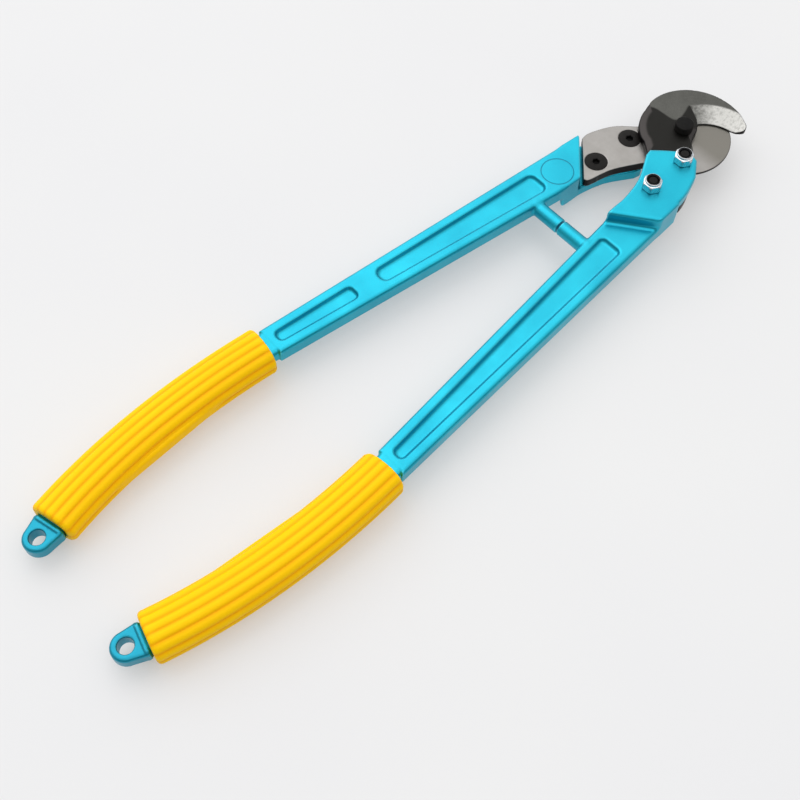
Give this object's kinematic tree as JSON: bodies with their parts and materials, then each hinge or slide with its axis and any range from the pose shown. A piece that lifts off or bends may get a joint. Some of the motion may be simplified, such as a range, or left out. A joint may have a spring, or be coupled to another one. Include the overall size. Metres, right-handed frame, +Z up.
{
  "type": "cable cutter",
  "caption": "Two-lever cable cutter with long bowed cast handles, sleeve grips, hanging eyes, stop pegs and bolted blades: a curved hook closing over a round jaw.",
  "frame": {"origin": "middle of the underside of the closed tool's bounding box", "axes": "+X from the hanging eyes to the jaws, +Y towards the left handle (the one that carries the round jaw), +Z up, along the pivot bolt towards its head"},
  "size_m": [0.6056, 0.1636, 0.0492],
  "materials": {
    "handle": "satin cyan metallic coat on a cast light-alloy lever",
    "grip": "matte yellow sleeve with lengthwise ribs",
    "round_blade": "ground tool steel, satin",
    "hook_blade": "darkened tool steel with a bright ground bevel",
    "black_steel": "black oxide, low sheen",
    "zinc": "bright zinc plate",
    "bronze": "plain turned bearing bronze",
    "nut_insert": "black locking ring"
  },
  "bodies": {
    "left_lever": {"handle_left": "handle", "grip_left": "grip", "blade_screw_left_front": "black_steel", "lock_nut_left_front": "zinc", "nut_insert_left_front": "nut_insert", "blade_screw_left_rear": "black_steel", "lock_nut_left_rear": "zinc", "nut_insert_left_rear": "nut_insert", "blade_round": "round_blade", "pivot_bolt": "black_steel", "pivot_bush": "bronze", "pivot_washer": "zinc", "pivot_nut": "black_steel", "pivot_nut_insert": "nut_insert"},
    "right_lever": {"handle_right": "handle", "grip_right": "grip", "blade_screw_right_front": "black_steel", "lock_nut_right_front": "zinc", "nut_insert_right_front": "nut_insert", "blade_screw_right_rear": "black_steel", "lock_nut_right_rear": "zinc", "nut_insert_right_rear": "nut_insert", "blade_hook": "hook_blade"}
  },
  "joints": [
    {"name": "jaw_pivot", "type": "hinge", "parent": "left_lever", "child": "right_lever", "pos_m": [0.25712, 0, 0.0246], "axis": [0, 0, 1], "range_deg": [0, 70]}
  ]
}
